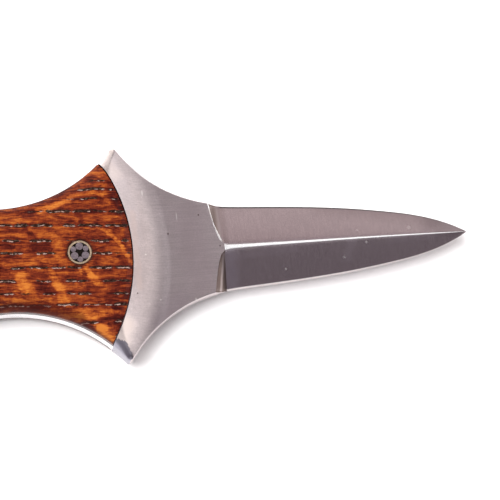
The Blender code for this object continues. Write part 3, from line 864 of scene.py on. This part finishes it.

# Painted reflections: patches lighter or darker than the steel that stand in for reflected
# light and shade, as strokes of (start, end, half width, strength, colour)
BOLSTER_PAINTED_REFLECTIONS = (
    ((16.0, 9.0), (18.0, -9.0), 7.0, 0.35, (0.54, 0.45, 0.485)),
    ((12.0, -14.0), (6.0, -19.0), 5.0, 0.35, (0.53, 0.45, 0.50)),
    ((-5.5, 25.0), (-3.0, 21.0), 3.4, 0.6, (0.80, 0.71, 0.68)),
    ((-6.5, -27.5), (-3.4, -20.0), 3.8, 0.8, (0.90, 0.80, 0.76)),
    ((0.8, 10.0), (1.0, -10.0), 1.6, 0.4, (0.70, 0.575, 0.545)),
)
BLADE_PAINTED_REFLECTIONS = (
    ((97.0, 4.0), (54.0, 12.4), 7.5, 0.6, (0.40, 0.335, 0.35)),
    ((98.0, 2.6), (84.0, 5.0), 8.0, 0.65, (0.29, 0.24, 0.26)),
    ((66.0, 9.2), (40.0, 11.6), 1.8, 0.35, (0.36, 0.30, 0.31)),
    ((25.0, 11.0), (25.2, 1.5), 1.8, 0.3, (0.34, 0.28, 0.27)),
    ((59.5, -1.0), (58.0, -5.0), 2.2, 0.3, (0.86, 0.80, 0.86)),
    ((70.0, -0.8), (82.0, -0.6), 1.6, 0.25, (0.80, 0.74, 0.80)),
    ((27.0, -2.6), (44.0, -1.9), 1.6, 0.2, (0.84, 0.77, 0.84)),
    ((26.2, -2.0), (26.2, -11.0), 3.2, 0.4, (0.88, 0.84, 0.95)),
)
PLUNGE_PAINTED_REFLECTIONS = (
    ((25.4, 11.5), (25.2, 1.2), 2.5, 0.95, (0.56, 0.47, 0.485)),
    ((23.0, -11.6), (24.6, -2.0), 0.5, 0.8, (0.52, 0.45, 0.45)),
)


def plain_materials():
    """Liner fibre, brass, rod steel and resin."""
    graph = Graph("liner_fibre")
    fibre = graph.noise(graph.stretched(graph.place, 2.0, 2.0, 8.0), 1.0, 3.0, 0.6)
    colour = graph.ramp(fibre, [(0.3, (0.008, 0.008, 0.009)), (0.7, (0.035, 0.033, 0.034))])
    liner = graph.finish(colour, 0.55, fibre, strength=0.3)
    graph = Graph("brass_ring")
    wear_and_shade = graph.noise(graph.place, 2.4, 3.0, 0.6)
    colour = graph.ramp(wear_and_shade, [(0.3, (0.56, 0.42, 0.28)), (0.7, (0.96, 0.79, 0.56))])
    roughness = graph.math("MULTIPLY_ADD", wear_and_shade, 0.2, 0.28)
    brass = graph.finish(colour, roughness, wear_and_shade, strength=0.3, distance=0.02, Metallic=0.9)
    graph = Graph("rod_steel")
    sanded = graph.noise(graph.stretched(graph.place, 1.6, 4.5, 1.0), 1.0, 3.0, 0.65)
    colour = graph.ramp(sanded, [(0.34, (0.30, 0.25, 0.30)), (0.66, (0.62, 0.54, 0.58))])
    roughness = graph.math("MULTIPLY_ADD", sanded, 0.15, 0.4)
    rods = graph.finish(colour, roughness, sanded, strength=0.4, distance=0.03, Metallic=1.0)
    graph = Graph("pin_resin")
    cloudy = graph.noise(graph.place, 2.5, 2.0, 0.5)
    colour = graph.ramp(cloudy, [(0.3, (0.002, 0.0016, 0.0013)), (0.7, (0.009, 0.006, 0.004))])
    resin = graph.finish(colour, 0.35, cloudy, strength=0.1, Specular_IOR_Level=0.08)
    return liner, brass, rods, resin


def build_steel():
    tang = handle_stations(SEAM_RADIUS, turns=14, rear_count=40, neck_count=20)
    bolster = bolster_stations()
    ramp, side = ramp_and_side(bolster)
    inset = distance_to_outline(bolster, side_outline())
    bolster_z = np.minimum(ramp, side) - edge_break(inset, BREAK_RADIUS)
    on_facet = side < ramp
    x = bolster[..., 0]
    v = np.abs(bolster[..., 1])
    neck_inset = np.hypot(x - NECK_CENTRE[0], v - NECK_CENTRE[1]) - NECK_RADIUS
    from_seam = np.hypot(x - SEAM_CENTRE[0], v) - SEAM_RADIUS
    facet_shade = on_facet & (neck_inset < np.interp(from_seam, (0.0, FACET_REACH), FACET_SHADE_WIDTHS))
    bolster[0, :, 0] += STEP_LEAN
    plunge, plunge_z = plunge_stations()
    blade, blade_z = blade_stations()
    plan = np.concatenate([tang, bolster, plunge, blade])
    top = np.concatenate([np.full(tang.shape[:2], TANG_HALF), bolster_z, plunge_z, blade_z])
    first_bolster = len(tang)
    first_front = first_bolster + NECK_STATIONS + TIP_STATIONS // 2
    first_plunge = first_bolster + len(bolster) - 1
    first_blade = first_plunge + len(plunge)
    ridge_rows = (ROWS // 2 - 1, ROWS // 2)

    def zone(station, row, flat):
        upper = row >= ROWS // 2
        if station < first_bolster:
            return TANG
        if not flat:
            # Painted shade: the walls take darkened steel, and the wall along the neck with negative y
            # takes the darkest
            return SHADED_FACET if station < first_front and row > ROWS else SHADED_SIDE
        if station < first_plunge:
            place = (station - first_bolster, row)
            # Painted shade on part of the lower facet, and a painted highlight on the rest of both
            # facets
            if facet_shade[place] and not upper:
                return SHADED_FACET
            return LIT_TIP if on_facet[place] else BOLSTER
        if station < first_blade:
            # Painted highlight: the upper plunge has a bright border of ridge steel, which narrows away
            # from the ridge
            border = max(1, 5 - (row - ROWS // 2) // 4) if upper else 0
            return RIDGE if station - first_plunge < border else SHADED_PLUNGE
        if row in ridge_rows:
            return RIDGE
        # Painted light and shade: the cutting bevel on the negative y edge is pale and the one on the
        # positive y edge is a shaded copy
        if row >= ROWS - 1 - CUTTING_ROWS:
            return SHADED_EDGE
        return LIT_EDGE if row < CUTTING_ROWS else BEVEL

    materials = [
        steel(
            "bolster_steel", (0.65, 0.585, 0.60), 0.38, (0.10, 2.6, 1.0), 0.9, 1.6, 0.08,
            BOLSTER_MARKS, BOLSTER_PAINTED_REFLECTIONS, 0.2
        ),
        steel("tang_steel", (0.85, 0.82, 0.83), 0.24, (0.4, 0.4, 7.0), 0.6, 0.3),
        # Painted shade: darkened steel on the edge walls, as if they reflected the shadow on the floor
        steel("shaded_side_steel", (0.56, 0.49, 0.48), 0.3, (0.4, 0.4, 9.0), 0.4, 0.3),
        # Painted shade: dark steel on the guard's lower facet and the wall along the lower neck
        steel("shaded_facet_steel", (0.30, 0.285, 0.335), 0.3, (0.8, 0.8, 1.0), 0.8, 0.6, 0.12),
        steel(
            "bevel_steel", (0.65, 0.585, 0.61), 0.24, (2.4, 0.22, 1.0), 0.6, 0.3, 0.05,
            BLADE_MARKS, BLADE_PAINTED_REFLECTIONS, 0.1
        ),
        steel("ridge_steel", (0.97, 0.96, 0.97), 0.12, (0.3, 9.0, 1.0), 0.1, 0.1, 0.03),
        # Painted highlight: pale steel on the cutting bevel along the negative y edge
        steel("edge_steel", (0.86, 0.82, 0.83), 0.24, (0.4, 9.0, 1.0), 0.2, 0.2),
        # Painted shade: the plunge is dark steel, as if it reflected the bevel, with painted reflections
        # on it
        steel(
            "shaded_plunge_steel", (0.21, 0.165, 0.155), 0.34, (1.0, 5.0, 1.0), 0.5, 0.5, 0.08,
            (), PLUNGE_PAINTED_REFLECTIONS, 0.12, 0.25
        ),
        # Painted highlight: pale steel on the guard's tips, on the facets outside the painted shade
        steel("lit_tip_steel", (0.88, 0.79, 0.76), 0.42, (0.5, 2.0, 1.0), 0.5, 0.8, 0.08),
        steel("shaded_edge_steel", (0.28, 0.24, 0.255), 0.26, (0.4, 9.0, 1.0), 0.2, 0.2),
    ]
    piece = loft("steel_blade_and_tang", plan, top, -top, materials, zone)
    drill(piece, PIN_HOLES)
    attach(piece, "root")
    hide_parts("blade_and_tang")


def build_scales():
    plan = handle_stations(SEAM_RADIUS - SEAM_GAP, turns=20, rear_count=70, neck_count=60)
    inset = distance_to_outline(plan, side_outline())
    to_seam = SEAM_RADIUS - SEAM_GAP - np.hypot(plan[..., 0] - SEAM_CENTRE[0], plan[..., 1])
    top = shoulder_height(inset) - edge_break(np.clip(to_seam, 0.0, None), WOOD_BREAK_RADIUS)
    low = np.full(plan.shape[:2], LINER_TOP + GLUE_FILM)
    for side, up, shift in (("upper", 1.0, 0.0), ("lower", -1.0, LOWER_WOOD_SHIFT)):
        material = wood("oak_" + side, shift)
        piece = loft("oak_scale_" + side, plan, up * top, up * low, [material], lambda *_: 0)
        drill(piece, PIN_HOLES)
        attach(piece, "root")
        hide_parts("scale_" + side)


def build_pins(brass, rod_steel, resin):
    top = HANDLE_HALF - PIN_RECESS
    for pin, pin_x in (("front_pin", FRONT_PIN_X), ("rear_pin", REAR_PIN_X)):
        ring = [
            (PIN_BORE_RADIUS, top - RING_BEVEL),
            (PIN_BORE_RADIUS + RING_BEVEL, top),
            (PIN_RADIUS - RING_BEVEL, top),
            (PIN_RADIUS, top - RING_BEVEL),
        ]
        tube = turned("mosaic_" + pin + "_tube", pin_x, 0.0, ring, HOLE_SEGMENTS, brass)
        pieces = [(tube, pin + "_tube", "brass")]
        holes = []
        rods = (("large_rod", ROD_SIZE_LARGE, 90.0), ("small_rod", ROD_SIZE_SMALL, 30.0))
        for kind, size, first_angle in rods:
            radius = size * PIN_BORE_RADIUS - ROD_THINNING
            reach = (1.0 - size) * PIN_BORE_RADIUS
            for index in range(3):
                angle = math.radians(first_angle + 120.0 * index)
                x = pin_x + reach * math.cos(angle)
                y = reach * math.sin(angle)
                profile = [
                    (0.0, top),
                    (radius * 0.6, top - 0.01),
                    (radius - 0.03, top - 0.03),
                    (radius, top - 0.07),
                ]
                node = f"{pin}_{kind}_{index + 1}"
                rod = turned("mosaic_" + node, x, y, profile, ROD_SEGMENTS, rod_steel)
                pieces.append((rod, node, "rod_steel"))
                holes.append((x, y, radius + FIT_CLEARANCE, ROD_SEGMENTS))
        radius = PIN_BORE_RADIUS - FIT_CLEARANCE
        profile = [(0.0, top - 0.1), (radius * 0.5, top - 0.12), (radius, top - 0.06)]
        filling = turned("mosaic_" + pin + "_resin", pin_x, 0.0, profile, HOLE_SEGMENTS, resin)
        drill(filling, holes)
        pieces.append((filling, pin + "_resin", "resin"))
        for piece, node, slot in pieces:
            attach(piece, "root")
            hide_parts(node)


# Light from the surroundings: an even colour, and changes to it in some directions, as
# (direction, outer angle, inner angle, change in colour)
WORLD_BASE = (1.14, 1.085, 1.06)
WORLD_LOBES = (
    ((0.139, -0.15, 0.98), 62.0, 16.0, (-0.985, -0.955, -0.915)),
    ((0.2, 0.93, 0.32), 36.0, 12.0, (-0.72, -0.70, -0.68)),
    ((0.974, 0.219, 0.07), 32.0, 5.0, (-0.18, -0.215, -0.24)),
    ((0.139, 0.573, 0.806), 22.0, 6.0, (0.0, -0.065, -0.07)),
    ((-0.25, -0.90, 0.36), 30.0, 14.0, (-0.68, -0.66, -0.60)),
    ((-0.62, 0.70, 0.36), 34.0, 14.0, (0.40, 0.39, 0.38)),
    ((0.139, -0.75, 0.647), 17.0, 6.0, (0.55, 0.52, 0.50)),
    ((0.88, -0.42, 0.22), 26.0, 8.0, (0.20, 0.19, 0.18)),
)

# Lights that face straight down: (name, position, size, radiance, seen in reflections)
SOFTBOXES = (
    ("key", (-0.46, 0.07, 1.18), (0.70, 0.70), 17.0, False),
    ("ridge_strip", (0.37, 0.2267, 1.0), (0.40, 0.20), 1.22, True),
)
FLOOR_REACH = 4.0
FLOOR_DROP = 0.0001

# The camera's direction from the knife, before its turn about the vertical in degrees
CAMERA_LEAN = (-0.12, -0.24, 1.0)
CAMERA_TURN = -5.757
CAMERA_DISTANCE = 0.65
CAMERA_TARGET = (32.033, -0.861)
CAMERA_LENS = 174.72
CAMERA_SENSOR = 36.0


def world_light():
    """Soft studio surroundings: bright low down, with a large dark card overhead."""
    world = bpy.data.worlds.new("studio")
    bpy.context.scene.world = world
    world.use_nodes = True
    tree = world.node_tree
    direction = tree.nodes.new("ShaderNodeTexCoord").outputs["Generated"]
    colour = tree.nodes.new("ShaderNodeCombineXYZ")
    for socket, value in zip(colour.inputs, WORLD_BASE):
        socket.default_value = value
    total = colour.outputs[0]
    for way, wide, narrow, change in WORLD_LOBES:
        closeness = tree.nodes.new("ShaderNodeVectorMath")
        closeness.operation = "DOT_PRODUCT"
        tree.links.new(direction, closeness.inputs[0])
        closeness.inputs[1].default_value = Vector(way).normalized()
        step = tree.nodes.new("ShaderNodeMapRange")
        step.interpolation_type = "SMOOTHSTEP"
        step.inputs["From Min"].default_value = math.cos(math.radians(wide))
        step.inputs["From Max"].default_value = math.cos(math.radians(narrow))
        tree.links.new(closeness.outputs["Value"], step.inputs["Value"])
        adding = tree.nodes.new("ShaderNodeVectorMath")
        adding.operation = "MULTIPLY_ADD"
        tree.links.new(step.outputs[0], adding.inputs[0])
        adding.inputs[1].default_value = change
        tree.links.new(total, adding.inputs[2])
        total = adding.outputs[0]
    tree.links.new(total, tree.nodes["Background"].inputs[0])


def softbox(name, position, size, radiance, reflected):
    """A rectangular light that faces straight down."""
    light = bpy.data.lights.new(name, "AREA")
    light.shape = "RECTANGLE"
    light.size, light.size_y = size
    light.energy = radiance * math.pi * size[0] * size[1]
    obj = bpy.data.objects.new(name, light)
    obj.location = position
    obj.visible_glossy = reflected
    bpy.context.scene.collection.objects.link(obj)


def build_stage():
    bm = bmesh.new()
    bmesh.ops.create_grid(bm, x_segments=1, y_segments=1, size=FLOOR_REACH)
    graph = Graph("floor_paper")
    fibre = graph.noise(graph.place, 0.8, 2.0, 0.5)
    colour = graph.ramp(fibre, [(0.3, (0.86, 0.855, 0.86)), (0.7, (0.88, 0.875, 0.88))])
    floor = new_object("floor", bm, [graph.finish(colour, 0.7)])
    floor.location.z = -FLOOR_DROP
    for values in SOFTBOXES:
        softbox(*values)
    world_light()


def build_camera():
    """Looks down on the knife from a little towards its lower edge and its butt."""
    tilt = Vector(CAMERA_LEAN).normalized()
    turn = math.radians(CAMERA_TURN)
    towards = Vector(
        (
            tilt.x * math.cos(turn) - tilt.y * math.sin(turn),
            tilt.x * math.sin(turn) + tilt.y * math.cos(turn),
            tilt.z,
        )
    )
    page_up = Vector((-math.sin(turn), math.cos(turn), 0.0))
    right = page_up.cross(towards).normalized()
    up = towards.cross(right)
    target = Vector(placed(*CAMERA_TARGET, 0.0))
    data = bpy.data.cameras.new("camera")
    data.sensor_width = CAMERA_SENSOR
    data.lens = CAMERA_LENS
    camera = bpy.data.objects.new("camera", data)
    bpy.context.scene.collection.objects.link(camera)
    place = target + towards * CAMERA_DISTANCE
    turned_to = Matrix((right, up, towards)).transposed().to_4x4()
    camera.matrix_world = Matrix.Translation(place) @ turned_to
    bpy.context.scene.camera = camera


bpy.context.scene.view_settings.view_transform = "Standard"
build_camera()
build_stage()
liner_fibre, brass_ring, rod_metal, pin_resin = plain_materials()
build_steel()
build_scales()
build_pins(brass_ring, rod_metal, pin_resin)
for side in ("upper", "lower"):
    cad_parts["liner_" + side].data.materials.clear()
    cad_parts["liner_" + side].data.materials.append(liner_fibre)
